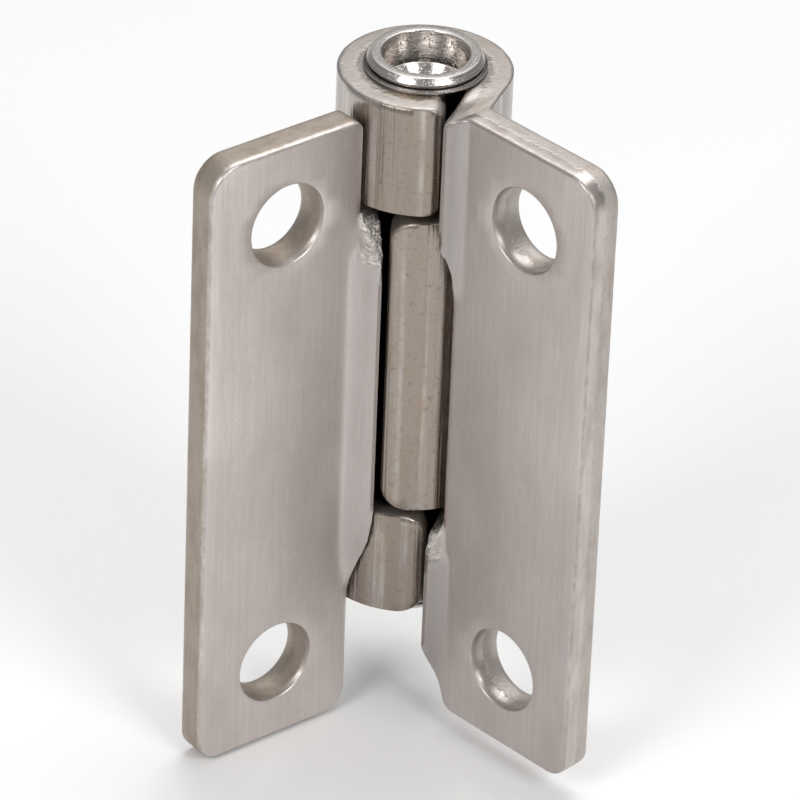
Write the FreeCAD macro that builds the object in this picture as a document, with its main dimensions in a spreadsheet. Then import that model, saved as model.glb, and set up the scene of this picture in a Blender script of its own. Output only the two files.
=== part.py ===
import FreeCAD, Part
import os
import Sketcher

# Three-knuckle butt hinge of heavy stainless sheet: two leaves, each cut from one flat blank and
# rolled into its own knuckles, and a tubular pin whose ends are rolled out into flat heads.
# Millimetres. The pin's axis is Z, Z = 0 is the outer leaf's mid height, and the outer leaf
# runs from the pin along +X with its back, the side it is mounted by, facing +Y.

doc = FreeCAD.newDocument("ButtHinge")
sheet = doc.addObject("Spreadsheet::Sheet", "Sizes")
sizes = [
    # both leaves
    ("leaf_height", 60),            # each leaf, along the pin
    ("sheet_thickness", 3),
    ("hole_spacing", 44.6),         # the two fixing holes, along the pin
    ("hole_edge_distance", 8.1),    # the holes' centres to the leaf's free edge
    ("hole_diameter", 7),
    ("hole_flare", 0.33),           # how much wider the hole's punched mouth is, on the radius
    ("hole_flare_depth", 2),
    ("top_corner", 3),              # corner radii at the free edge
    ("bottom_corner", 2),
    ("opening_angle", 96),          # between the leaves' front faces as they rest
    # rolled eyes and the necks that join them to the leaves
    ("pin_diameter", 9),
    ("eye_clearance", 0.05),
    ("neck_lean", 25.5),            # degrees between the neck and the leaf's cross direction
    ("neck_rise", 1.1),             # height of the neck's bend above the leaf's front face
    ("crest_width", 1.1),           # the bend's rounded top
    ("crest_radius", 0.65),
    ("crest_fall", 0.6),            # from the top down to the flat of the leaf
    ("eye_end_outer", 31.5),        # degrees, the sheet's free end at the eye's outside
    ("eye_end_inner", 20),          # and at its bore
    # knuckles along the pin
    ("bottom_setback", 8.9),        # lowest knuckle's end above the outer leaf's bottom edge
    ("bottom_knuckle", 10.2),
    ("top_knuckle", 10.7),
    ("knuckle_gap", 0.45),
    # what differs between the leaves
    ("outer_leaf_reach", 24.2),     # pin axis to the leaf's free edge
    ("inner_leaf_reach", 23.75),
    ("outer_back_offset", 0.7),     # how far in front of the pin's axis the back face is
    ("inner_back_offset", -1.2),
    ("outer_notch_gap", 0.55),      # between the other leaf's knuckle and the leaf's edge beside it
    ("inner_notch_gap", 0.25),
    ("outer_root_width", 2.1),      # the rounded corner between a neck and that edge
    ("outer_root_height", 5.3),
    ("outer_root_radius", 7.8),
    ("inner_root_width", 1.9),
    ("inner_root_height", 4.4),
    ("inner_root_radius", 6.5),
    ("relief_width", 4.2),          # the long sloping corner under the lowest knuckle
    ("relief_radius", 16),
    ("relief_foot", 1.3),
    ("slot_slant", 3.2),            # how far a neck's upper edge drops towards its leaf
    ("crest_run", 2.4),             # how far the neck's bend runs on past its knuckle
    ("ring_clearance", 0.35),       # between a leaf and the other leaf's knuckle beside it
    ("inner_leaf_drop", 2),         # the inner leaf sits this much lower
    # pin
    ("pin_wall", 1.75),             # the tube's wall, and what is left of it at the mouths
    ("mouth_wall", 0.7),
    ("mouth_depth", 3.1),
    ("mouth_cone", 1.2),
    ("head_overhang", 0.57),        # beyond the pin, on the radius
    ("head_thickness", 0.9),
    ("head_round", 0.35),
    ("collar_overhang", 0.85),
    ("collar_thickness", 0.45),
]
for row, (alias, value) in enumerate(sizes, start=1):
    sheet.set("A%d" % row, alias)
    sheet.set("B%d" % row, str(value))
    sheet.setAlias("B%d" % row, alias)
doc.recompute()


def size(text):
    """The text as a cell expression: every alias in it is read from the sheet."""
    words = []
    for word in text.split():
        words.append("Sizes." + word if "_" in word else word)
    return " ".join(words)


EYE = "( pin_diameter / 2 + eye_clearance )"
BARREL = "( pin_diameter / 2 + eye_clearance + sheet_thickness )"
LEAN = "( neck_lean * 1deg )"
TOP = "( leaf_height / 2 )"
BARREL_FOOT = "( bottom_setback - leaf_height / 2 )"
LOW_GAP = "( bottom_setback - leaf_height / 2 + bottom_knuckle )"
HIGH_GAP = "( leaf_height / 2 - top_knuckle )"


def sketch_on(body, name, role, lift=None):
    """An empty sketch on one of the body's own origin planes, lifted off it if asked."""
    sketch = body.newObject("Sketcher::SketchObject", name)
    plane = [f for f in body.Origin.OriginFeatures if f.Role == role][0]
    sketch.AttachmentSupport = [(plane, "")]
    sketch.MapMode = "FlatFace"
    if lift:
        sketch.setExpression("AttachmentOffset.Base.z", size(lift))
    return sketch


def bind(sketch, kind, refs, near, text):
    """One dimension of a sketch, bound to the sheet."""
    index = sketch.addConstraint(Sketcher.Constraint(kind, *refs, near))
    sketch.setExpression("Constraints[%d]" % index, size(text))


def closed_outline(sketch, corners):
    """Corners joined in order. Each is (x, y, near_x, near_y, way on to the next one): None is
    a straight line, (radius, centre_x, centre_y, ccw) an arc, and a radius of None an arc
    about the pin axis. A corner whose y is None is held by its arc."""
    count = len(corners)
    for i, (x, y, near_x, near_y, way) in enumerate(corners):
        far_x, far_y = corners[(i + 1) % count][2:4]
        start, end = FreeCAD.Vector(near_x, near_y, 0), FreeCAD.Vector(far_x, far_y, 0)
        if way is None:
            sketch.addGeometry(Part.LineSegment(start, end), False)
        else:
            centre = FreeCAD.Vector(way[1], way[2], 0)
            first, last = (start, end) if way[3] else (end, start)
            axis = FreeCAD.Vector(1, 0, 0)
            up = FreeCAD.Vector(0, 0, 1)
            angles = [(p - centre).getAngle(axis) * (1 if (p - centre).y >= 0 else -1)
                      for p in (first, last)]
            circle = Part.Circle(centre, up, (start - centre).Length)
            sketch.addGeometry(Part.ArcOfCircle(circle, angles[0], angles[1]), False)
    for i, (x, y, near_x, near_y, way) in enumerate(corners):
        after = (i + 1) % count
        starts = 2 if way is not None and not way[3] else 1
        ends = 1 if way is not None and not way[3] else 2
        next_way = corners[after][4]
        next_starts = 2 if next_way is not None and not next_way[3] else 1
        sketch.addConstraint(Sketcher.Constraint("Coincident", i, ends, after, next_starts))
        bind(sketch, "DistanceX", (-1, 1, i, starts), near_x, x)
        if y is not None:
            bind(sketch, "DistanceY", (-1, 1, i, starts), near_y, y)
        if way is not None and way[0] is None:
            sketch.addConstraint(Sketcher.Constraint("Coincident", i, 3, -1, 1))
        elif way is not None:
            bind(sketch, "Radius", (i,), sketch.Geometry[i].Radius, way[0])


def pocket_through(body, sketch, name):
    """Cuts a sketch's outline right through the body, both ways."""
    pocket = body.newObject("PartDesign::Pocket", name)
    pocket.Profile = sketch
    pocket.Type = "ThroughAll"
    pocket.SideType = "Symmetric"
    return pocket


def make_leaf(label, reach, back, notches, crest_cuts, ring_cuts, middle, foot, rounds):
    """One leaf: the rolled section drawn once and run the leaf's whole height, then cut back
    to its knuckles. The notches are outlines seen from the front. The others are lengths
    (low, high) along the pin: where the sheet stays flat up to its edge, and where the other
    leaf's knuckle turns. The rounds are the low and the high corner at the free edge."""
    body = doc.addObject("PartDesign::Body", label)
    body.Label = label
    front, crest = "( %s + sheet_thickness )" % back, "( %s + sheet_thickness + neck_rise )" % back
    crest_x = ("( {e} * cos( {a} ) + ( {c} + {e} * sin( {a} ) ) * tan( {a} ) )"
               .format(e=EYE, a=LEAN, c=crest))
    corner_x = ("( {r} * cos( {a} ) + ( {b} + {r} * sin( {a} ) ) * tan( {a} ) )"
                .format(r=BARREL, a=LEAN, b=back))
    section = sketch_on(body, label + "_section", "XY_Plane", foot)
    closed_outline(section, [
        ("%s * cos( %s )" % (EYE, LEAN), "%s * sin( %s )" % (EYE, LEAN), 4.1, 1.96, None),
        (crest_x, "- " + crest, 7.3, -4.6, ("crest_radius", 7.9, -4.3, True)),
        (crest_x + " + crest_width", "- " + crest, 8.5, -4.6, None),
        (crest_x + " + crest_width + crest_fall", "- " + front, 9.25, -3.5, None),
        (reach, "- " + front, 24.3, -3.5, None),
        (reach, "- " + back, 24.3, -0.5, None),
        (corner_x, "- " + back, 8.7, -0.5, None),
        ("%s * cos( %s )" % (BARREL, LEAN), "%s * sin( %s )" % (BARREL, LEAN), 6.81, 3.25,
         (None, 0, 0, True)),
        ("%s * cos( eye_end_outer * 1deg )" % BARREL, None, 6.44, -3.94, None),
        ("%s * cos( eye_end_inner * 1deg )" % EYE, None, 4.28, -1.56, (None, 0, 0, False)),
    ])
    pad = body.newObject("PartDesign::Pad", label + "_strip")
    pad.Profile = section
    pad.setExpression("Length", size("leaf_height"))

    for number, (low, high) in enumerate(crest_cuts, start=1):
        flat = sketch_on(body, "%s_flat_%d" % (label, number), "XZ_Plane", front)
        closed_outline(flat, [
            ("%s / 2" % EYE, low, 2.3, -10, None),
            ("%s + crest_width + crest_fall + 1" % crest_x, low, 11, -10, None),
            ("%s + crest_width + crest_fall + 1" % crest_x, high, 11, 10, None),
            ("%s / 2" % EYE, high, 2.3, 10, None),
        ])
        cut = body.newObject("PartDesign::Pocket", "%s_flatten_%d" % (label, number))
        cut.Profile = flat
        cut.Reversed = True
        cut.setExpression("Length", size(BARREL))

    for number, (low, high) in enumerate(ring_cuts, start=1):
        ring = sketch_on(body, "%s_ring_%d" % (label, number), "XY_Plane", low)
        ring.addGeometry(Part.Circle(FreeCAD.Vector(0, 0, 0), FreeCAD.Vector(0, 0, 1), 8), False)
        ring.addConstraint(Sketcher.Constraint("Coincident", 0, 3, -1, 1))
        bind(ring, "Radius", (0,), 8, BARREL + " + ring_clearance")
        cut = body.newObject("PartDesign::Pocket", "%s_clear_%d" % (label, number))
        cut.Profile = ring
        cut.Reversed = True
        cut.setExpression("Length", size("%s - %s" % (high, low)))

    for number, corners in enumerate(notches, start=1):
        notch = sketch_on(body, "%s_notch_%d" % (label, number), "XZ_Plane")
        closed_outline(notch, corners)
        pocket_through(body, notch, "%s_cut_%d" % (label, number))

    holes = sketch_on(body, label + "_holes", "XZ_Plane")
    mouths = sketch_on(body, label + "_mouths", "XZ_Plane", front)
    for sketch, radius in ((holes, "hole_diameter / 2"), (mouths, "hole_diameter / 2 + hole_flare")):
        for index, sign in enumerate("+-"):
            up = FreeCAD.Vector(0, 0, 1)
            near_z = 22 if sign == "+" else -22
            sketch.addGeometry(Part.Circle(FreeCAD.Vector(16, near_z, 0), up, 3.5), False)
            bind(sketch, "Radius", (index,), 3.5, radius)
            bind(sketch, "DistanceX", (-1, 1, index, 3), 16, reach + " - hole_edge_distance")
            bind(sketch, "DistanceY", (-1, 1, index, 3), near_z,
                 "%s %s hole_spacing / 2" % (middle, sign))
    pocket_through(body, holes, label + "_punch")
    flare = body.newObject("PartDesign::Pocket", label + "_flare")
    flare.Profile = mouths
    flare.setExpression("Length", size("hole_flare_depth"))
    flare.setExpression("TaperAngle", size("- atan( hole_flare / hole_flare_depth )"))
    doc.recompute()

    last = flare
    for radius in rounds:
        box = last.Shape.BoundBox
        level = box.ZMin if radius == rounds[0] else box.ZMax
        names = ["Edge%d" % number for number, edge in enumerate(last.Shape.Edges, start=1)
                 if all(abs(v.X - box.XMax) + abs(v.Z - level) < 0.001 for v in edge.Vertexes)]
        rounding = body.newObject("PartDesign::Fillet", "%s_%s" % (label, radius))
        rounding.Base = (last, names)
        rounding.setExpression("Radius", size(radius))
        doc.recompute()
        last = rounding
    return body


# The outer leaf holds the top and the bottom knuckle. Its section starts at its bottom edge.
past_barrel = "- %s - 1" % BARREL
neck_foot = "%s * cos( eye_end_outer * 1deg )" % BARREL
notch = "( %s + outer_notch_gap )" % BARREL
root = notch + " - outer_root_width"
middle_notch = [
    (past_barrel, LOW_GAP, -8.5, -10.9, None),
    (neck_foot, LOW_GAP, 6.4, -10.9, None),
    (notch, LOW_GAP + " - slot_slant", 8.1, -14.1, None),
    (notch, HIGH_GAP + " - outer_root_height", 8.1, 14, ("outer_root_radius", 0.3, 14, True)),
    (root, HIGH_GAP, 6, 19.3, None),
    (past_barrel, HIGH_GAP, -8.5, 19.3, None),
]
bottom_notch = [
    (past_barrel, "- %s - 1" % TOP, -8.5, -31, None),
    (notch + " + relief_foot", "- %s - 1" % TOP, 9.4, -31, None),
    (notch + " + relief_foot", "- " + TOP, 9.4, -30, ("relief_radius", -7, -30, True)),
    (notch + " + relief_foot - relief_width", BARREL_FOOT, 5.2, -21.1, None),
    (past_barrel, BARREL_FOOT, -8.5, -21.1, None),
]
outer_leaf = make_leaf("outer_leaf", "outer_leaf_reach", "outer_back_offset",
                       [middle_notch, bottom_notch],
                       [(LOW_GAP, HIGH_GAP + " - crest_run"),
                        ("( - %s - 1 )" % TOP, BARREL_FOOT + " - crest_run")],
                       [(LOW_GAP, HIGH_GAP)], "0", "- " + TOP,
                       ("bottom_corner", "top_corner"))

# The inner leaf holds the long middle knuckle. It is drawn with its front face towards -Y like
# the other, and is then turned over end for end and swung to where it rests, so its drop and
# its knuckle are measured the other way along Z here.
knuckle_low = "( knuckle_gap - %s )" % HIGH_GAP
knuckle_high = "( - %s - knuckle_gap )" % LOW_GAP
inner_foot = "( inner_leaf_drop - %s )" % TOP
inner_head = "( inner_leaf_drop + %s )" % TOP
notch = "( %s + inner_notch_gap )" % BARREL
root = notch + " - inner_root_width"
upper_cut = [
    (past_barrel, inner_foot + " - 1", -8.5, -29.3, None),
    (notch, inner_foot + " - 1", 7.8, -29.3, None),
    (notch, knuckle_low + " + slot_slant", 7.8, -15.6, None),
    (neck_foot, knuckle_low, 6.4, -18.8, None),
    (past_barrel, knuckle_low, -8.5, -18.8, None),
]
lower_cut = [
    (past_barrel, knuckle_high, -8.5, 10.4, None),
    (root, knuckle_high, 5.9, 10.4, ("inner_root_radius", 1.3, 14.8, True)),
    (notch, knuckle_high + " + inner_root_height", 7.8, 14.8, None),
    (notch, inner_head + " + 1", 7.8, 32.7, None),
    (past_barrel, inner_head + " + 1", -8.5, 32.7, None),
]
inner_leaf = make_leaf("inner_leaf", "inner_leaf_reach", "inner_back_offset",
                       [upper_cut, lower_cut],
                       [(inner_foot + " - 1", knuckle_low),
                        (knuckle_high + " + crest_run", inner_head + " + 1")],
                       [(inner_foot + " - 1", knuckle_low), (knuckle_high, inner_head + " + 1")],
                       "inner_leaf_drop", inner_foot, ("top_corner", "bottom_corner"))
turned_over = FreeCAD.Rotation(FreeCAD.Vector(1, 0, 0), 180)
swung = FreeCAD.Rotation(FreeCAD.Vector(0, 0, 1), -sheet.opening_angle)
inner_leaf.Placement = FreeCAD.Placement(FreeCAD.Vector(0, 0, 0), swung.multiply(turned_over))

# The pin is a tube. Each end is flared inside to a conical mouth and rolled outwards into a
# flat head, and the first of the metal to spread is a thin wider collar against the knuckle.
hinge_pin = doc.addObject("PartDesign::Body", "hinge_pin")
hinge_pin.Label = "hinge_pin"
profile = sketch_on(hinge_pin, "pin_section", "XZ_Plane")
shank = "pin_diameter / 2"
bore, mouth = shank + " - pin_wall", shank + " - mouth_wall"
head, collar = shank + " + head_overhang", shank + " + collar_overhang"
low_face, high_face = "( %s - collar_thickness - head_thickness )" % BARREL_FOOT, \
    "( %s + collar_thickness + head_thickness )" % TOP
closed_outline(profile, [
    (mouth, low_face, 3.8, -22.1, None),
    (head, low_face, 5.07, -22.1, None),
    (head, low_face + " + head_thickness", 5.07, -21.4, None),
    (collar, low_face + " + head_thickness", 4.95, -21.4, None),
    (collar, BARREL_FOOT, 4.95, -21.1, None),
    (shank, BARREL_FOOT, 4.5, -21.1, None),
    (shank, TOP, 4.5, 30, None),
    (collar, TOP, 4.95, 30, None),
    (collar, high_face + " - head_thickness", 4.95, 30.3, None),
    (head, high_face + " - head_thickness", 5.07, 30.3, None),
    (head, high_face, 5.07, 31, None),
    (mouth, high_face, 3.8, 31, None),
    (mouth, high_face + " - mouth_depth", 3.8, 28.2, None),
    (bore, high_face + " - mouth_depth - mouth_cone", 2.75, 27, None),
    (bore, low_face + " + mouth_depth + mouth_cone", 2.75, -18, None),
    (mouth, low_face + " + mouth_depth", 3.8, -19.3, None),
])
turned = hinge_pin.newObject("PartDesign::Revolution", "pin_tube")
turned.Profile = profile
turned.ReferenceAxis = (profile, ["V_Axis"])
turned.Angle = 360
doc.recompute()
box = turned.Shape.BoundBox
rims = ["Edge%d" % number for number, edge in enumerate(turned.Shape.Edges, start=1)
        if edge.BoundBox.ZLength < 0.001
        and abs(edge.BoundBox.XMax - sheet.pin_diameter / 2 - sheet.head_overhang) < 0.001
        and (edge.BoundBox.ZMax > box.ZMax - 0.001 or edge.BoundBox.ZMin < box.ZMin + 0.001)]
round_heads = hinge_pin.newObject("PartDesign::Fillet", "rolled_heads")
round_heads.Base = (turned, rims)
round_heads.setExpression("Radius", size("head_round"))
doc.recompute()

for item in doc.Objects:
    if {"Invalid", "Error"} & set(item.State):
        raise RuntimeError("%s did not compute: %s" % (item.Name, item.State))
os.makedirs("parts", exist_ok=True)
for part in (outer_leaf, inner_leaf, hinge_pin):
    if part.Shape.isNull() or not part.Shape.isValid() or len(part.Shape.Solids) != 1:
        raise RuntimeError("%s is not one sound solid" % part.Label)
    part.Shape.exportStep("parts/%s.step" % part.Label)
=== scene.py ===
import bmesh
import bpy
import math
from mathutils import Matrix, Vector, noise
from mathutils.geometry import delaunay_2d_cdt


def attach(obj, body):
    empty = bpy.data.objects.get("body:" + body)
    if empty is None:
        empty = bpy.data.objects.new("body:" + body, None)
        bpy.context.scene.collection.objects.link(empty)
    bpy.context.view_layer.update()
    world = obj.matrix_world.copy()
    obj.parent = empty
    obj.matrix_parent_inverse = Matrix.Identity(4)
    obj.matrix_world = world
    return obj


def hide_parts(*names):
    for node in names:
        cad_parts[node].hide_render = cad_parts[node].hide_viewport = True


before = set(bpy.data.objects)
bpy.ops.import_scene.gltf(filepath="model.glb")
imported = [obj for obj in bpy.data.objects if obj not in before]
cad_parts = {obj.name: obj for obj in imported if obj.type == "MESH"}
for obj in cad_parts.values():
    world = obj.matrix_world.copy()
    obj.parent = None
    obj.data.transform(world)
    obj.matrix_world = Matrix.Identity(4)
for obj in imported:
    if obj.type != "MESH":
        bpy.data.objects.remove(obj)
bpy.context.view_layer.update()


# ---------------------------------------------------------------------------------------------
# Outer leaf: one blank punched from 3 mm stainless sheet, brushed along its height, then
# rolled backwards into the top and the bottom knuckle. Every sheared edge keeps its rounded
# rim on the front, a smooth burnished band and the rough torn band behind it.

MM = 0.001
THICK, EYE, BARREL = 3.0, 4.55, 7.55
LEAN = math.radians(25.5)
EYE_END_OUTER, EYE_END_INNER = math.radians(31.5), math.radians(20)
HOLE = 3.5
TOP_END, LOW_END = 30.0, -21.1


def rounded(corners, closed=True, step=0.35):
    """A run of (x, y, radius) corners as a polyline with each corner rounded."""
    path, count = [], len(corners)
    for i, (x, y, radius) in enumerate(corners):
        here = Vector((x, y))
        if radius == 0 or (not closed and i in (0, count - 1)):
            path.append(here)
            continue
        back = (Vector(corners[i - 1][:2]) - here).normalized()
        on = (Vector(corners[(i + 1) % count][:2]) - here).normalized()
        half = back.angle(on) / 2
        centre = here + (back + on).normalized() * radius / math.sin(half)
        first = here + back * radius / math.tan(half) - centre
        turn = math.pi - 2 * half
        sign = 1 if first.y * back.x - first.x * back.y > 0 else -1
        steps = max(3, round(radius * turn / step * 1.5))
        for k in range(steps + 1):
            a = sign * turn * k / steps
            path.append(centre + Vector((first.x * math.cos(a) - first.y * math.sin(a),
                                         first.x * math.sin(a) + first.y * math.cos(a))))
    return path


def even_points(path, count):
    """The polyline's points spread evenly by length, ends included."""
    lengths = [0.0]
    for a, b in zip(path, path[1:]):
        lengths.append(lengths[-1] + (b - a).length)
    points, i = [], 0
    for k in range(count):
        want = lengths[-1] * k / (count - 1)
        while i < len(path) - 2 and lengths[i + 1] < want:
            i += 1
        span = lengths[i + 1] - lengths[i]
        points.append(path[i].lerp(path[i + 1], (want - lengths[i]) / span if span else 0))
    return points


def divided(loop, step):
    """A closed loop with no stretch longer than the step."""
    points = []
    for a, b in zip(loop, loop[1:] + loop[:1]):
        pieces = max(1, math.ceil((b - a).length / step))
        points += [a.lerp(b, k / pieces) for k in range(pieces)]
    return points


def leaf_section(reach, back, rise, shoulder):
    """The bent sheet seen along the pin, as its front and its back line at every distance
    from the leaf's free edge. The back is how far that face stands from the pin's axis, the
    rise and the shoulder are how high and how wide the raised strip beside the knuckles is.
    Returns the flat length, the neck's end, the sheet's end, and what carries a point of the
    blank onto the bend."""
    front, crest = back + THICK, back + THICK + rise
    lean_x, lean_y = math.sin(LEAN), math.cos(LEAN)
    apex = EYE * math.cos(LEAN) + (crest + EYE * lean_x) / lean_y * lean_x
    crease = apex + shoulder
    corner = BARREL * lean_y + (back + BARREL * lean_x) / lean_y * lean_x
    flat_to = crease + 0.55
    neck = 60
    front_line = even_points(rounded([
        (flat_to, front, 0), (crease, front, 1.1), (apex, crest, 0.32),
        (EYE * lean_y, -EYE * lean_x, 0)], closed=False, step=0.1), neck + 1)
    back_line = even_points(rounded([
        (flat_to, back, 0), (corner, back, 0.3), (BARREL * lean_y, -BARREL * lean_x, 0)],
        closed=False, step=0.1), neck + 1)
    ring = 150
    for k in range(1, ring + 1):
        inner = -LEAN - (2 * math.pi - LEAN - EYE_END_INNER) * k / ring
        outer = -LEAN - (2 * math.pi - LEAN - EYE_END_OUTER) * k / ring
        front_line.append(Vector((EYE * math.cos(inner), EYE * math.sin(inner))))
        back_line.append(Vector((BARREL * math.cos(outer), BARREL * math.sin(outer))))
    flat = reach - flat_to
    neck_end = flat + 7.6
    sheet_end = neck_end + (EYE + BARREL) / 2 * (2 * math.pi - LEAN - EYE_END_OUTER)

    def line_at(line, s):
        """The point of the front or the back line at a distance along the blank."""
        if s <= neck_end:
            at = (s - flat) / (neck_end - flat) * neck
        else:
            at = neck + (s - neck_end) / (sheet_end - neck_end) * ring
        at = min(max(at, 0), neck + ring - 0.0001)
        i = int(at)
        return line[i].lerp(line[i + 1], at - i)

    def place(s, depth, bent):
        """Where a point of the blank lies, from still level to fully bent."""
        level = Vector((reach - s, front - depth))
        if s <= flat:
            return level
        rolled = line_at(front_line, s).lerp(line_at(back_line, s), depth / THICK)
        return level.lerp(rolled, bent)

    return flat, neck_end, sheet_end, place


def rim_normals(loop):
    """Unit normals of a loop, pointing out of the metal when it runs anticlockwise."""
    count, normals = len(loop), []
    for i in range(count):
        before = (loop[i] - loop[i - 1]).normalized()
        after = (loop[(i + 1) % count] - loop[i]).normalized()
        way = (before + after).normalized()
        normals.append(Vector((way.y, -way.x)))
    return normals


def inside(loop, p):
    """Whether a point is inside a loop."""
    odd = False
    for a, b in zip(loop, loop[1:] + loop[:1]):
        if (a.y > p.y) != (b.y > p.y) and p.x < (b.x - a.x) * (p.y - a.y) / (b.y - a.y) + a.x:
            odd = not odd
    return odd


# how far each rim is drawn in from the blank's outline, and at what depth below the front
SHEARED_RIM = [(0.29, 0.0), (0.17, 0.03), (0.08, 0.11), (0.03, 0.24), (0.0, 0.5), (0.0, 1.1),
               (0.02, 1.6), (0.05, 2.1), (0.06, 2.6), (0.1, 2.85), (0.22, 3.0)]
PUNCHED_RIM = [(0.48, 0.0), (0.4, 0.03), (0.33, 0.12), (0.22, 0.7), (0.1, 1.4), (0.0, 2.0),
               (0.0, 2.4), (0.0, 2.85), (0.1, 3.0)]


def ramp(value):
    """A soft step from 0 to 1."""
    value = min(1, max(0, value))
    return value * value * (3 - 2 * value)


def faced_out(mesh):
    """Turns every face of a closed mesh to point out of the metal."""
    skin = bmesh.new()
    skin.from_mesh(mesh)
    bmesh.ops.recalc_face_normals(skin, faces=skin.faces)
    skin.to_mesh(mesh)
    skin.free()


def rolled_leaf(name, section, outline, holes, bent_at, lean_at, facet, to_world, seed):
    """The whole leaf as one mesh: its blank is filled in flat, given its sheared rims and
    holes, and each point is then carried onto the bent section. The facet is the torn face
    at the neck's end: its lowest and highest place, how far forward it starts, its slope.
    Marks on the points keep where each was on the blank and what was done to it there."""
    flat, neck_end, sheet_end, place = leaf_section(*section)
    loops = [(divided(rounded(outline(neck_end, sheet_end)), 0.45), SHEARED_RIM, 1)]
    for s, z in holes:
        ring = [Vector((s + HOLE * math.cos(a), z + HOLE * math.sin(a)))
                for a in (2 * math.pi * k / 96 for k in range(96))]
        loops.append((ring, PUNCHED_RIM, -1))
    area = sum(a.x * b.y - b.x * a.y for a, b in zip(loops[0][0], loops[0][0][1:]))
    if area < 0:
        loops[0][0].reverse()

    verts, cuts, faces, rims = [], [], [], []
    for loop, rim, side in loops:
        normals = rim_normals(loop)
        rows = []
        for inset, depth in rim:
            row = []
            for p, n in zip(loop, normals):
                wear = noise.noise(Vector((p.x * 1.3, p.y * 1.3, depth * 0.8 + seed))) * 0.5
                wear += noise.noise(Vector((p.x * 4, p.y * 4, depth * 2 + seed))) * 0.35
                rough = 0.012 if side < 0 else 0.02 + 0.035 * min(1, max(0, depth - 1.1))
                off = inset * (1 + (0.5 * wear if side > 0 and inset > 0.05 else 0)) - rough * wear
                if side > 0:
                    front_lean, back_lean = lean_at(p.x, p.y, neck_end)
                    off += front_lean * (1 + 0.15 * wear) * (1 - depth / THICK) ** 1.15
                    off += back_lean * (depth / THICK) ** 0.8
                row.append(len(verts))
                verts.append((p.x - n.x * off * side, p.y - n.y * off * side, depth))
                cuts.append(min(1, max(0, (depth - 0.02) / 0.2)) if depth < 1.5 else
                            min(1, max(0, (THICK - 0.02 - depth) / 0.2)))
            rows.append(row)
        rims.append(rows)
        count = len(loop)
        for upper, lower in zip(rows, rows[1:]):
            for i in range(count):
                j = (i + 1) % count
                quad = (upper[i], lower[i], lower[j], upper[j])
                faces.append(quad if side > 0 else tuple(reversed(quad)))

    grid, s = [], 1.2
    while s < sheet_end - 0.6:
        fine = flat + 0.3 < s < neck_end
        grid += [Vector((s, z / 2)) for z in range(-62, 59, 1 if fine else 2)
                 if all((Vector((s, z / 2)) - Vector(hole)).length > HOLE + 1.0 for hole in holes)]
        s += 1.6 if s < flat - 1.7 else (0.3 if s < neck_end else 0.5)

    # the torn face has a finer net of points than the sheet round it
    net, start = 0.42, Vector((16.3, facet[0] - 0.6))
    grid = [p for p in grid if not (start.x - 0.3 < p.x < 20 and start.y - 0.3 < p.y < facet[1])]
    grid += [start + Vector((net * i, net * k)) for i in range(9) for k in range(11)]

    for depth, which in ((0.0, 0), (THICK, -1)):
        ids, coords, edges = [], [], []
        for rows in rims:
            first = len(coords)
            row = rows[which]
            for v in row:
                ids.append(v)
                coords.append(Vector(verts[v][:2]))
            edges += [(first + i, first + (i + 1) % len(row)) for i in range(len(row))]
        edge = [Vector(verts[v][:2]) for v in rims[0][which]]
        for p in grid:
            near = 0.07 if p.x > flat + 0.3 else 0.4
            if not inside(edge, p) or min((p - q).length_squared for q in edge) < near:
                continue
            ids.append(len(verts))
            coords.append(p)
            verts.append((p.x, p.y, depth))
            cuts.append(0.0)
        hole_rings = [set(rows[which]) for rows in rims[1:]]
        new, _, tris, originals, _, _ = delaunay_2d_cdt(coords, edges, [], 1, 1e-6)
        back_to = []
        for i, o in enumerate(originals):
            nearest = o[0] if o else min(range(len(coords)),
                                         key=lambda k: (coords[k] - Vector(new[i])).length)
            back_to.append(ids[nearest])
        for tri in tris:
            face = [back_to[i] for i in tri]
            if len(set(face)) < 3 or any(set(face) <= hole for hole in hole_rings):
                continue
            faces.append(tuple(reversed(face)) if depth == 0 else tuple(face))

    mesh = bpy.data.meshes.new(name)
    where = []
    for s, z, depth in verts:
        u, n = place(s, depth, bent_at(s, z, neck_end))
        if facet[0] < z < facet[1] and 15.9 < s < neck_end:
            n = min(n, facet[2] - facet[3] * (z - facet[0]) - 0.35 * depth)
        where.append(to_world(u, n, z))
    mesh.from_pydata(where, [], faces)
    mesh.validate()
    faced_out(mesh)
    marks = mesh.attributes.new("blank", "FLOAT_VECTOR", "POINT").data
    marks.foreach_set("vector", [c for v in verts for c in v])
    for mark, values in (
            ("cut_edge", cuts),
            ("rolled", [ramp((s - flat - 2) / 3) for s, z, depth in verts]),
            # strip: where painted shade goes on the raised strip and its crease
            ("strip", [ramp((s - flat + 0.2) / 0.9) * ramp((neck_end + 2 - s) / 3)
                       * bent_at(s, z, neck_end) for s, z, depth in verts]),
            ("facet", [ramp((s - 15.7) / 0.4) * ramp((19.4 - s) / 1.0)
                       * ramp((z - facet[0] + 0.1) / 0.4) * ramp((facet[1] + 0.4 - z) / 0.4)
                       * ramp((2.5 - depth) / 0.5) for s, z, depth in verts]),
            ("free_end", [ramp((s - sheet_end + 7.5) / 4.5) for s, z, depth in verts])):
        mesh.attributes.new(mark, "FLOAT", "POINT").data.foreach_set("value", values)
    mesh.shade_smooth()
    mesh.set_sharp_from_angle(angle=math.radians(50))
    leaf = bpy.data.objects.new(name, mesh)
    bpy.context.scene.collection.objects.link(leaf)
    return leaf


def add(tree, kind, inputs=None, **settings):
    """A new node with its settings, and its inputs set or joined to sockets."""
    made = tree.nodes.new(kind)
    for key, value in settings.items():
        setattr(made, key, value)
    for key, value in (inputs or {}).items():
        if isinstance(value, bpy.types.NodeSocket):
            tree.links.new(value, made.inputs[key])
        else:
            made.inputs[key].default_value = value
    return made


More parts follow.
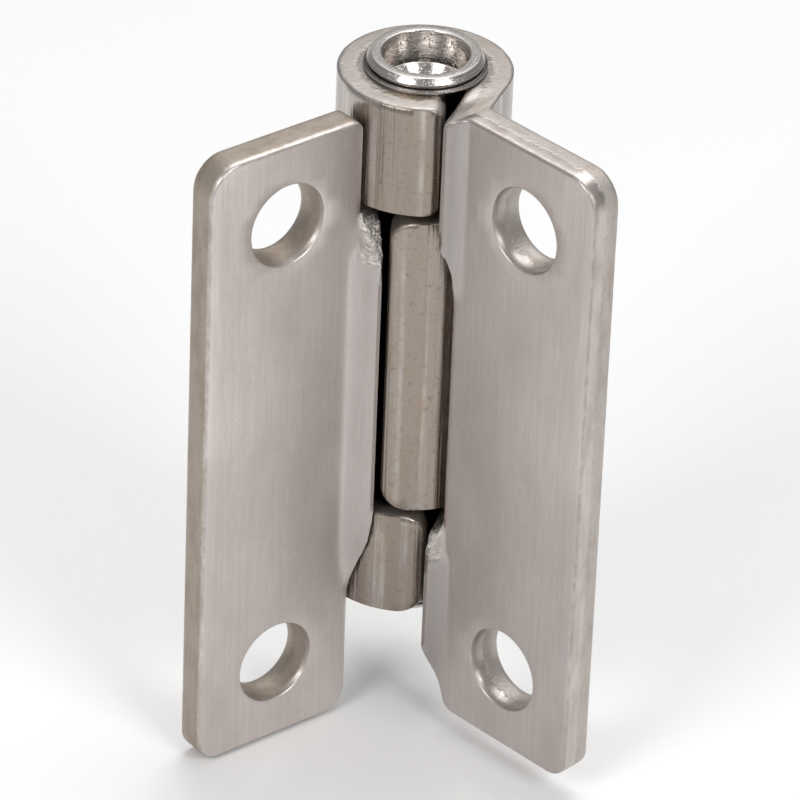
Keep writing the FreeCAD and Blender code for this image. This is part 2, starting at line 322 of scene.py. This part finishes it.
def calc(tree, operation, a, b=0.0):
    """One sum over two values."""
    return add(tree, "ShaderNodeMath", {0: a, 1: b}, operation=operation).outputs[0]


def times(tree, a, b):
    """The product of two values."""
    return calc(tree, "MULTIPLY", a, b)


def grade(tree, value, low, high, first=0.0, last=1.0):
    """The value carried smoothly from low..high to first..last."""
    return add(tree, "ShaderNodeMapRange", {0: value, 1: low, 2: high, 3: first, 4: last},
               interpolation_type="SMOOTHSTEP").outputs[0]


def tone(tree, amount, first, last):
    """One colour laid over another by an amount."""
    return add(tree, "ShaderNodeMix", {0: amount, 6: first, 7: last},
               data_type="RGBA").outputs[2]


def speckle(tree, where, stretch, detail=2.0, rough=0.5):
    """Noise over a place in millimetres, stretched by a count per millimetre each way."""
    scaled = add(tree, "ShaderNodeVectorMath", {0: where, 1: stretch}, operation="MULTIPLY")
    return add(tree, "ShaderNodeTexNoise", {"Vector": scaled.outputs[0], "Scale": 1.0,
               "Detail": detail, "Roughness": rough}).outputs[0]


def effect(name, takes, gives):
    """A node group with its named sockets, and its input and output nodes."""
    tree = bpy.data.node_groups.new(name, "ShaderNodeTree")
    for label, kind in takes:
        tree.interface.new_socket(label, in_out="INPUT", socket_type=kind)
    for label in gives:
        tree.interface.new_socket(label, in_out="OUTPUT", socket_type="NodeSocketFloat")
    return tree, tree.nodes.new("NodeGroupInput").outputs, tree.nodes.new("NodeGroupOutput").inputs


# brushed mill finish: long faint lines along the leaf, fine pits, broad clouds and scratches
brushing, here, out = effect("sheet_brushing", [("Place", "NodeSocketVector")],
                             ["Lines", "Pits", "Clouds", "Scratches", "Rolls"])
fine = speckle(brushing, here["Place"], (9.0, 0.22, 9.0), 3.0, 0.6)
broad = speckle(brushing, here["Place"], (2.2, 0.05, 2.2), 2.0)
lines = calc(brushing, "ADD", times(brushing, fine, 0.6), times(brushing, broad, 0.4))
brushing.links.new(lines, out["Lines"])
brushing.links.new(grade(brushing, speckle(brushing, here["Place"], (3.4, 2.6, 3.4), 3.0, 0.65),
                         0.56, 0.74), out["Pits"])
brushing.links.new(speckle(brushing, here["Place"], (0.13, 0.07, 0.3), 3.0, 0.55), out["Clouds"])
brushing.links.new(speckle(brushing, here["Place"], (1.1, 0.012, 0.01), 3.0, 0.6), out["Rolls"])
marks = speckle(brushing, here["Place"], (1.5, 0.16, 1.5), 1.0)
across = speckle(brushing, here["Place"], (0.28, 1.6, 0.5), 1.0)
scratch = calc(brushing, "MAXIMUM",
               grade(brushing, calc(brushing, "ABSOLUTE", calc(brushing, "SUBTRACT", marks, 0.5)),
                     0.0, 0.012, 1.0, 0.0),
               grade(brushing, calc(brushing, "ABSOLUTE", calc(brushing, "SUBTRACT", across, 0.5)),
                     0.0, 0.006, 0.7, 0.0))
scratched = grade(brushing, speckle(brushing, here["Place"], (0.4, 0.25, 0.4)), 0.52, 0.66)
brushing.links.new(times(brushing, scratch, scratched), out["Scratches"])

# sheared edge: a burnished band next to the front, an uneven tear line, then rough fracture
shearing, here, out = effect("sheared_edge", [("Place", "NodeSocketVector"),
                                              ("Cut", "NodeSocketFloat"),
                                              ("Band", "NodeSocketFloat")],
                             ["Fracture", "Lip", "Chips", "Relief"])
depth = add(shearing, "ShaderNodeSeparateXYZ", {0: here["Place"]}).outputs[2]
ragged = speckle(shearing, here["Place"], (1.6, 1.6, 0.3), 3.0, 0.7)
swing = times(shearing, calc(shearing, "SUBTRACT", ragged, 0.5),
              times(shearing, here["Band"], 1.1))
tear = calc(shearing, "ADD", here["Band"], swing)
fracture = times(shearing, grade(shearing, calc(shearing, "SUBTRACT", depth, tear), -0.18, 0.3),
                 here["Cut"])
shearing.links.new(fracture, out["Fracture"])
lip = times(shearing, grade(shearing, depth, 0.0, 0.14),
            grade(shearing, depth, 0.2, 0.42, 1.0, 0.0))
broken = grade(shearing, speckle(shearing, here["Place"], (0.7, 0.7, 0.7), 2.0), 0.3, 0.6)
shearing.links.new(times(shearing, lip, broken), out["Lip"])
chips = grade(shearing, speckle(shearing, here["Place"], (3.0, 3.0, 2.4), 2.0, 0.6), 0.68, 0.74)
shearing.links.new(times(shearing, chips, here["Cut"]), out["Chips"])
torn = speckle(shearing, here["Place"], (3.6, 3.6, 1.8), 4.0, 0.7)
shearing.links.new(times(shearing, torn, fracture), out["Relief"])

# heat tint and old oil: yellow-brown patches that run down the metal
tinting, here, out = effect("heat_tint", [("Place", "NodeSocketVector"),
                                          ("Amount", "NodeSocketFloat")], ["Tint", "Grime"])
patch = grade(tinting, speckle(tinting, here["Place"], (0.5, 0.14, 0.5), 4.0, 0.6), 0.42, 0.68)
tinting.links.new(times(tinting, patch, here["Amount"]), out["Tint"])
dots = grade(tinting, speckle(tinting, here["Place"], (2.6, 2.0, 2.6), 4.0, 0.7), 0.55, 0.72)
tinting.links.new(times(tinting, dots, here["Amount"]), out["Grime"])


def leaf_finish(name, face, shade, edge, band, tarnish):
    """Brushed stainless sheet: its face, its darker clouds, the colour of its torn edge, how
    wide the burnished band on its edges is and how much of the knuckles is tinted."""
    finish = bpy.data.materials.new(name)
    finish.use_nodes = True
    tree = finish.node_tree
    steel = tree.nodes["Principled BSDF"]

    def mark(label, output="Fac"):
        """A mark that the mesh carries on its points."""
        return add(tree, "ShaderNodeAttribute", attribute_name=label).outputs[output]

    blank, cut, rolled = mark("blank", "Vector"), mark("cut_edge"), mark("rolled")
    strip, facet, free_end = mark("strip"), mark("facet"), mark("free_end")
    brush = add(tree, "ShaderNodeGroup", {"Place": blank}, node_tree=brushing).outputs
    shear = add(tree, "ShaderNodeGroup", {"Place": blank, "Cut": cut, "Band": band},
                node_tree=shearing).outputs
    handled = times(tree, rolled, grade(tree, free_end, 0.0, 1.0, 0.12, 1.0))
    stained = calc(tree, "ADD", times(tree, handled, tarnish), times(tree, cut, 0.2))
    tint = add(tree, "ShaderNodeGroup", {"Place": blank, "Amount": stained},
               node_tree=tinting).outputs

    # the face: clouds and brushed lines, pits, scratches, and painted shade on the raised strip
    # and its crease by the knuckles
    colour = tone(tree, grade(tree, brush["Clouds"], 0.32, 0.7), face, shade)
    colour = tone(tree, grade(tree, brush["Lines"], 0.36, 0.62, 0.0, 0.3), colour,
                  tuple(c * 0.72 for c in face[:3]) + (1,))
    colour = tone(tree, times(tree, brush["Pits"], 0.22), colour, (0.2, 0.17, 0.15, 1))
    colour = tone(tree, times(tree, brush["Scratches"], 0.35), colour, (0.74, 0.72, 0.7, 1))
    # painted shade: the raised strip and its crease beside the knuckles are darkened
    colour = tone(tree, times(tree, strip, 0.62), colour, tuple(c * 0.52 for c in face[:3]) + (1,))
    colour = tone(tree, times(tree, handled, 0.25), colour, (0.36, 0.32, 0.29, 1))
    colour = tone(tree, times(tree, free_end, 0.7), colour, (0.25, 0.205, 0.17, 1))

    # the knuckles: dark and light lines that the rolls left round them
    rolls = times(tree, times(tree, rolled, calc(tree, "SUBTRACT", 1.0, cut)),
                  grade(tree, brush["Rolls"], 0.35, 0.65))
    colour = tone(tree, times(tree, rolls, 0.3), colour, (0.3, 0.26, 0.22, 1))
    light = times(tree, calc(tree, "SUBTRACT", rolled, times(tree, rolled, cut)),
                  grade(tree, brush["Rolls"], 0.36, 0.46, 1.0, 0.0))
    streaks = grade(tree, speckle(tree, blank, (0.5, 0.12, 0.5), 2.0), 0.38, 0.62, 0.08, 0.4)
    colour = tone(tree, times(tree, light, streaks), colour, (0.78, 0.74, 0.7, 1))

    # the sheared edges, with old stains, and the torn face at the neck's end
    colour = tone(tree, shear["Fracture"], colour, edge)
    stain = times(tree, cut, grade(tree, speckle(tree, blank, (0.45, 0.22, 0.9), 4.0, 0.65),
                                   0.44, 0.66))
    colour = tone(tree, times(tree, stain, 0.38), colour,
                  tuple(c * k for c, k in zip(edge[:3], (0.66, 0.58, 0.5))) + (1,))
    colour = tone(tree, times(tree, times(tree, rolled, cut), 0.4), colour, (0.36, 0.33, 0.31, 1))
    torn = times(tree, facet, grade(tree, speckle(tree, blank, (2.2, 3.4, 2.0), 3.0, 0.7),
                                    0.4, 0.62))
    colour = tone(tree, times(tree, facet, 0.6), colour, (0.42, 0.385, 0.36, 1))
    colour = tone(tree, times(tree, torn, 0.7), colour, (0.85, 0.82, 0.79, 1))
    colour = tone(tree, times(tree, shear["Lip"], 0.35), colour,
                  tuple(c * 0.45 for c in face[:3]) + (1,))
    colour = tone(tree, times(tree, shear["Chips"], 0.5), colour, (0.72, 0.7, 0.68, 1))
    colour = tone(tree, times(tree, tint["Tint"], 0.6), colour, (0.34, 0.27, 0.19, 1))
    colour = tone(tree, times(tree, tint["Grime"], 0.5), colour, (0.13, 0.1, 0.08, 1))
    tree.links.new(colour, steel.inputs["Base Color"])
    steel.inputs["Metallic"].default_value = 1.0

    # duller where it is torn or grimy, smoother where it was rolled
    rough = grade(tree, brush["Lines"], 0.3, 0.7, 0.3, 0.42)
    rough = calc(tree, "ADD", rough, times(tree, shear["Fracture"], 0.22))
    rough = calc(tree, "ADD", rough, times(tree, shear["Lip"], 0.12))
    rough = calc(tree, "SUBTRACT", rough, times(tree, rolled, 0.07))
    rough = calc(tree, "ADD", rough, times(tree, tint["Grime"], 0.12))
    tree.links.new(rough, steel.inputs["Roughness"])

    # relief: lines, pits, scratches, rolling marks and torn grain, in parts of 0.06 mm
    height = times(tree, brush["Lines"], 0.35)
    height = calc(tree, "SUBTRACT", height, times(tree, brush["Pits"], 0.14))
    height = calc(tree, "SUBTRACT", height, times(tree, brush["Scratches"], 0.12))
    height = calc(tree, "ADD", height, times(tree, shear["Relief"], 1.6))
    height = calc(tree, "ADD", height, times(tree, rolls, 1.5))
    height = calc(tree, "ADD", height, times(tree, torn, 2.2))
    bump = add(tree, "ShaderNodeBump", {"Height": height, "Strength": 0.6,
                                        "Distance": 0.00006})
    tree.links.new(bump.outputs[0], steel.inputs["Normal"])
    return finish


OUTER_LOW_GAP, OUTER_TOP_GAP = -10.9, 19.3
OUTER_ROOT = 16.1


def outer_blank(neck_end, sheet_end):
    """The blank's corners and their radii, from the free edge at 0 to the rolled end. Between
    the two gaps the plate stops at the root of its necks."""
    return [(0, -30, 2.0), (15.2, -30, 1.6), (15.5, -28.6, 3), (17.0, -23.8, 2),
            (neck_end - 2.5, LOW_END, 1.2), (sheet_end, LOW_END, 2.0),
            (sheet_end, OUTER_LOW_GAP, 2.0), (OUTER_ROOT, OUTER_LOW_GAP, 0.3),
            (OUTER_ROOT, 14.4, 4), (16.6, 16.2, 4), (18.4, OUTER_TOP_GAP, 0.4),
            (sheet_end, OUTER_TOP_GAP, 1.2), (sheet_end, TOP_END, 1.0), (0, TOP_END, 3.0)]


def outer_lean(s, z, neck_end):
    """How far a sheared edge leans back at the front of the sheet, and at its back. The strip's
    end beside the middle knuckle is sheared slantwise, and the web above that knuckle is cut
    back behind to clear it."""
    if abs(z - OUTER_LOW_GAP) < 0.02:
        return 1.1 * ramp((s - OUTER_ROOT) / 0.5) * ramp((neck_end - 1.6 - s) / 3.2), 0.0
    if OUTER_ROOT < s < 18.6 and 13 < z < 19.25:
        return 0.0, s - OUTER_ROOT
    if z > 29 and 15.2 < s < neck_end - 1:
        return 0.5 * ramp((s - 15.2) / 1.5) * ramp((neck_end - 1 - s) / 3), 0.0
    return 0.0, 0.0


def outer_bent(s, z, neck_end):
    """How far the sheet follows the bend: not at all on the plate between the knuckles."""
    if s > neck_end - 3.6:
        return 1.0
    top = ramp((z - 11.0) / 3.4)
    strip_end = ramp((-13.2 - z) / 1.8)
    beside = ramp((s - OUTER_ROOT) / 0.5) * ramp((-10.3 - z) / 0.4)
    return max(top, max(strip_end, beside) * ramp((z + 29.8) / 5.5))


outer_leaf = rolled_leaf(
    "outer_leaf_sheet", section=(24.2, 0.7, 1.95, 0.85), outline=outer_blank,
    holes=[(8.1, 22.3), (8.1, -22.3)], bent_at=outer_bent, lean_at=outer_lean,
    facet=(-14.3, -10.8, 5.5, 0.6), to_world=lambda u, n, z: (u * MM, -n * MM, z * MM),
    seed=3.0)
outer_leaf.data.materials.append(leaf_finish(
    "outer_leaf_stainless", face=(0.6, 0.555, 0.53, 1), shade=(0.52, 0.475, 0.45, 1),
    edge=(0.55, 0.51, 0.48, 1), band=1.35, tarnish=0.8))
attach(outer_leaf, "outer_side")
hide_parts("outer_leaf")


# ---------------------------------------------------------------------------------------------
# Inner leaf: a blank of the same sheet rolled into the one long middle knuckle. It sits a
# little lower than the outer leaf and rests swung open on the pin.

SWUNG = math.radians(-96)
INNER_LOW_GAP, INNER_TOP_GAP = -10.45, 18.85
INNER_ROOT = 15.95


def inner_to_world(u, n, z):
    """A point of this leaf, along it and in front of it, swung open about the pin."""
    across = Vector((math.cos(SWUNG), math.sin(SWUNG)))
    forward = Vector((-across.y, across.x))
    flat = across * u + forward * n
    return flat.x * MM, flat.y * MM, z * MM


def inner_blank(neck_end, sheet_end):
    """The blank's corners and their radii. Only what lies between the gaps is rolled."""
    return [(0, -32, 2.0), (INNER_ROOT, -32, 2.2), (INNER_ROOT, -19.4, 4), (16.35, -17.6, 3),
            (17.05, -14.2, 3), (17.6, INNER_LOW_GAP, 0.4), (sheet_end, INNER_LOW_GAP, 2.2),
            (sheet_end, INNER_TOP_GAP, 2.2), (INNER_ROOT, INNER_TOP_GAP, 0.3),
            (INNER_ROOT, 28, 1.0), (0, 28, 3.0)]


def inner_lean(s, z, neck_end):
    """The strip's upper end is sheared slantwise, and the web at its lower end is cut back
    behind to clear the lowest knuckle."""
    if abs(z - INNER_TOP_GAP) < 0.02:
        return 1.3 * ramp((s - INNER_ROOT) / 0.5) * ramp((neck_end - 1.4 - s) / 3.4), 0.0
    if INNER_ROOT < s < 18.7 and -20.2 < z < -10.5:
        return 0.0, s - INNER_ROOT
    return 0.0, 0.0


def inner_bent(s, z, neck_end):
    """How far this sheet follows the bend: fully along the middle knuckle, and not at all on
    the plate above and below it."""
    if s > neck_end - 3.6:
        return 1.0
    strip_end = ramp((16.2 - z) / 2.4)
    beside = ramp((s - INNER_ROOT) / 0.5) * ramp((19.3 - z) / 0.4)
    return max(strip_end, beside) * ramp((z + 20.8) / 7.5)


inner_leaf = rolled_leaf(
    "inner_leaf_sheet", section=(23.75, -1.2, 2.5, 1.4), outline=inner_blank,
    holes=[(8.1, 20.3), (8.1, -24.3)], bent_at=inner_bent, lean_at=inner_lean,
    facet=(14.2, 18.9, 4.15, 0.48), to_world=inner_to_world, seed=11.0)
inner_leaf.data.materials.append(leaf_finish(
    "inner_leaf_stainless", face=(0.72, 0.665, 0.635, 1), shade=(0.62, 0.565, 0.535, 1),
    edge=(0.43, 0.375, 0.325, 1), band=0.34, tarnish=1.0))
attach(inner_leaf, "inner_side")
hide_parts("inner_leaf")


# ---------------------------------------------------------------------------------------------
# Hinge pin: a turned stainless tube. Each end is opened to a wide mouth with a smooth cone at
# its bottom, and rolled out into a bevelled head over a thin collar of the first metal to
# spread. The collars lie on the outer knuckles and hold the pin.

def turned_tube(name, profile, sides=128):
    """A closed (radius, height) profile turned about the pin's axis, in millimetres."""
    mesh = bpy.data.meshes.new(name)
    verts, faces = [], []
    for k in range(sides):
        a = 2 * math.pi * k / sides
        for r, z in profile:
            verts.append((r * math.cos(a) * MM, r * math.sin(a) * MM, z * MM))
    count = len(profile)
    for k in range(sides):
        for i in range(count):
            j = (i + 1) % count
            o = (k + 1) % sides
            faces.append((k * count + i, k * count + j, o * count + j, o * count + i))
    mesh.from_pydata(verts, [], faces)
    mesh.validate()
    faced_out(mesh)
    mesh.shade_smooth()
    mesh.set_sharp_from_angle(angle=math.radians(40))
    tube = bpy.data.objects.new(name, mesh)
    bpy.context.scene.collection.objects.link(tube)
    return tube


PIN, MOUTH, BORE, HEAD, COLLAR = 4.5, 3.8, 2.75, 5.07, 5.35


def pin_end(base, way):
    """One end of the tube, from its outside to its bore. Heights in it are measured from the
    knuckle's end at base, and way is 1 upwards or -1 downwards."""
    outside = [(PIN, -1.0, 0), (PIN, 0.0, 0), (COLLAR - 0.1, 0.0, 0.05), (COLLAR, 0.2, 0.12),
               (COLLAR - 0.08, 0.45, 0.1), (HEAD - 0.22, 0.5, 0.05), (HEAD - 0.2, 0.62, 0.05),
               (HEAD, 0.68, 0.07), (HEAD, 0.83, 0.08), (HEAD - 0.36, 1.35, 0.12),
               (MOUTH, 1.35, 0.12), (MOUTH - 0.02, -1.75, 0.12), (BORE, -2.95, 0.2),
               (BORE, -4.0, 0)]
    path = rounded(outside, closed=False, step=0.06)
    return [(p.x, base + way * p.y) for p in path]


top, low = pin_end(TOP_END, 1), pin_end(LOW_END, -1)
hinge_pin = turned_tube("hinge_pin_tube", top + list(reversed(low)))

# turned and rolled metal: rings left by the tool, small dark pits, bright nicks
turning, here, out = effect("turned_rings", [("Place", "NodeSocketVector")],
                            ["Rings", "Pits", "Nicks"])
parts = add(turning, "ShaderNodeSeparateXYZ", {0: here["Place"]}).outputs
radius = calc(turning, "SQRT", calc(turning, "ADD", times(turning, parts[0], parts[0]),
                                    times(turning, parts[1], parts[1])))
spread = add(turning, "ShaderNodeCombineXYZ",
             {0: times(turning, radius, 9.0), 1: times(turning, parts[2], 9.0),
              2: times(turning, parts[0], 0.25)})
turning.links.new(add(turning, "ShaderNodeTexNoise", {"Vector": spread.outputs[0], "Scale": 1.0,
                                                      "Detail": 3.0}).outputs[0], out["Rings"])
turning.links.new(grade(turning, speckle(turning, here["Place"], (5.0, 5.0, 3.0), 3.0, 0.6),
                        0.55, 0.66), out["Pits"])
turning.links.new(grade(turning, speckle(turning, here["Place"], (2.2, 2.2, 3.5), 2.0, 0.7),
                        0.66, 0.7), out["Nicks"])

pin_metal = bpy.data.materials.new("turned_stainless")
pin_metal.use_nodes = True
tree = pin_metal.node_tree
steel = tree.nodes["Principled BSDF"]
spot = add(tree, "ShaderNodeVectorMath",
           {0: add(tree, "ShaderNodeTexCoord").outputs["Object"], 1: (1000, 1000, 1000)},
           operation="MULTIPLY").outputs[0]
rings = add(tree, "ShaderNodeGroup", {"Place": spot}, node_tree=turning).outputs

# places on the pin, by their radius and their height beyond the knuckle's end
x, y, z = add(tree, "ShaderNodeSeparateXYZ", {0: spot}).outputs
radius = calc(tree, "SQRT", calc(tree, "ADD", times(tree, x, x), times(tree, y, y)))
middle = (TOP_END + LOW_END) / 2
beyond = calc(tree, "SUBTRACT", calc(tree, "ABSOLUTE", calc(tree, "SUBTRACT", z, middle)),
              (TOP_END - LOW_END) / 2)
under_head = times(tree, grade(tree, radius, HEAD - 0.3, HEAD - 0.12),
                   times(tree, grade(tree, beyond, 0.3, 0.45),
                         grade(tree, beyond, 0.55, 0.8, 1.0, 0.0)))
mouth_wall = times(tree, grade(tree, radius, MOUTH - 0.08, MOUTH - 0.05),
                   times(tree, grade(tree, radius, MOUTH + 0.01, MOUTH + 0.05, 1.0, 0.0),
                         grade(tree, beyond, -1.8, -1.7)))
cone = times(tree, grade(tree, radius, MOUTH - 0.12, MOUTH - 0.08, 1.0, 0.0),
             grade(tree, radius, BORE - 0.05, BORE + 0.05))
deep = grade(tree, radius, BORE + 0.02, BORE + 0.1, 1.0, 0.0)
rim = times(tree, grade(tree, radius, HEAD - 0.4, HEAD - 0.34),
            grade(tree, beyond, 0.72, 0.84))
hidden = times(tree, grade(tree, beyond, -0.6, -0.2, 1.0, 0.0),
               grade(tree, radius, PIN - 0.15, PIN - 0.05))

# worn bright where the tool ran; painted shade under the head, down the bore and on the pin inside
# the knuckles
colour = tone(tree, grade(tree, rings["Rings"], 0.35, 0.65), (0.68, 0.645, 0.62, 1),
              (0.48, 0.45, 0.425, 1))
colour = tone(tree, times(tree, rings["Pits"], grade(tree, mouth_wall, 0.0, 1.0, 0.15, 0.6)),
              colour, (0.16, 0.135, 0.11, 1))
colour = tone(tree, times(tree, rings["Nicks"], 0.6), colour, (0.85, 0.83, 0.81, 1))
# painted shade: near black in the groove under the head
colour = tone(tree, times(tree, under_head, 0.85), colour, (0.07, 0.055, 0.045, 1))
# painted shade: darker down the bore
colour = tone(tree, times(tree, deep, 0.5), colour, (0.2, 0.17, 0.14, 1))
clean = times(tree, mouth_wall, grade(tree, rings["Pits"], 0.0, 1.0, 0.75, 0.1))
colour = tone(tree, clean, colour, (0.86, 0.81, 0.77, 1))
# painted shade: near black where the pin runs inside the knuckles
colour = tone(tree, hidden, colour, (0.03, 0.025, 0.02, 1))
tree.links.new(colour, steel.inputs["Base Color"])
steel.inputs["Metallic"].default_value = 1.0
rough = grade(tree, rings["Rings"], 0.3, 0.7, 0.2, 0.34)
rough = calc(tree, "SUBTRACT", rough, times(tree, mouth_wall, 0.05))
rough = calc(tree, "SUBTRACT", rough, times(tree, rim, 0.1))
rough = calc(tree, "SUBTRACT", rough, times(tree, cone, 0.13))
tree.links.new(rough, steel.inputs["Roughness"])
height = calc(tree, "ADD", times(tree, rings["Rings"], 0.5),
              times(tree, rings["Pits"], grade(tree, mouth_wall, 0.0, 1.0, -0.4, -5.5)))
bump = add(tree, "ShaderNodeBump", {"Height": height, "Strength": 0.5, "Distance": 0.00004})
tree.links.new(bump.outputs[0], steel.inputs["Normal"])
hinge_pin.data.materials.append(pin_metal)
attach(hinge_pin, "outer_side")
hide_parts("hinge_pin")


# ---------------------------------------------------------------------------------------------
# The studio: a pale floor under the hinge, a white surround with one soft lamp above and one
# on each side, and a long lens.

FLOOR_HEIGHT = -0.0323

bpy.ops.mesh.primitive_plane_add(size=6, location=(0, 0, FLOOR_HEIGHT))
floor = bpy.context.object
floor.name = "floor"
pale = bpy.data.materials.new("pale_floor")
pale.use_nodes = True
surface = pale.node_tree.nodes["Principled BSDF"]
surface.inputs["Base Color"].default_value = (0.9, 0.9, 0.9, 1)
surface.inputs["Roughness"].default_value = 0.9
floor.data.materials.append(pale)

world = bpy.data.worlds.new("studio")
world.use_nodes = True
world.node_tree.nodes["Background"].inputs["Color"].default_value = (1, 1, 1, 1)
world.node_tree.nodes["Background"].inputs["Strength"].default_value = 0.33
bpy.context.scene.world = world
bpy.context.scene.view_settings.view_transform = "Standard"


def soft_lamp(name, place, towards, size, watts):
    """A square lamp turned towards a point."""
    lamp = bpy.data.lights.new(name, "AREA")
    lamp.size, lamp.energy = size, watts
    made = bpy.data.objects.new(name, lamp)
    made.location = place
    made.rotation_euler = (Vector(towards) - Vector(place)).to_track_quat("-Z", "Y").to_euler()
    bpy.context.scene.collection.objects.link(made)


soft_lamp("lamp_over", (-0.15, 0.25, 0.6), (0, 0, 0), 0.5, 2.6)
soft_lamp("lamp_left", (0.06, -0.5, 0.36), (0, 0, 0), 0.24, 1.3)
soft_lamp("lamp_right", (0.5, -0.06, 0.36), (0, 0, 0), 0.24, 1.3)

lens = bpy.data.cameras.new("camera")
lens.sensor_width = 36
lens.lens = 304.499
lens.clip_start, lens.clip_end = 0.01, 10
camera = bpy.data.objects.new("camera", lens)
bpy.context.scene.collection.objects.link(camera)
camera.matrix_world = Matrix((
    (0.691782, -0.402704, 0.599389, 0.355195),
    (0.721282, 0.345707, -0.600199, -0.357108),
    (0.034489, 0.847536, 0.529617, 0.310834),
    (0, 0, 0, 1)))
bpy.context.scene.camera = camera
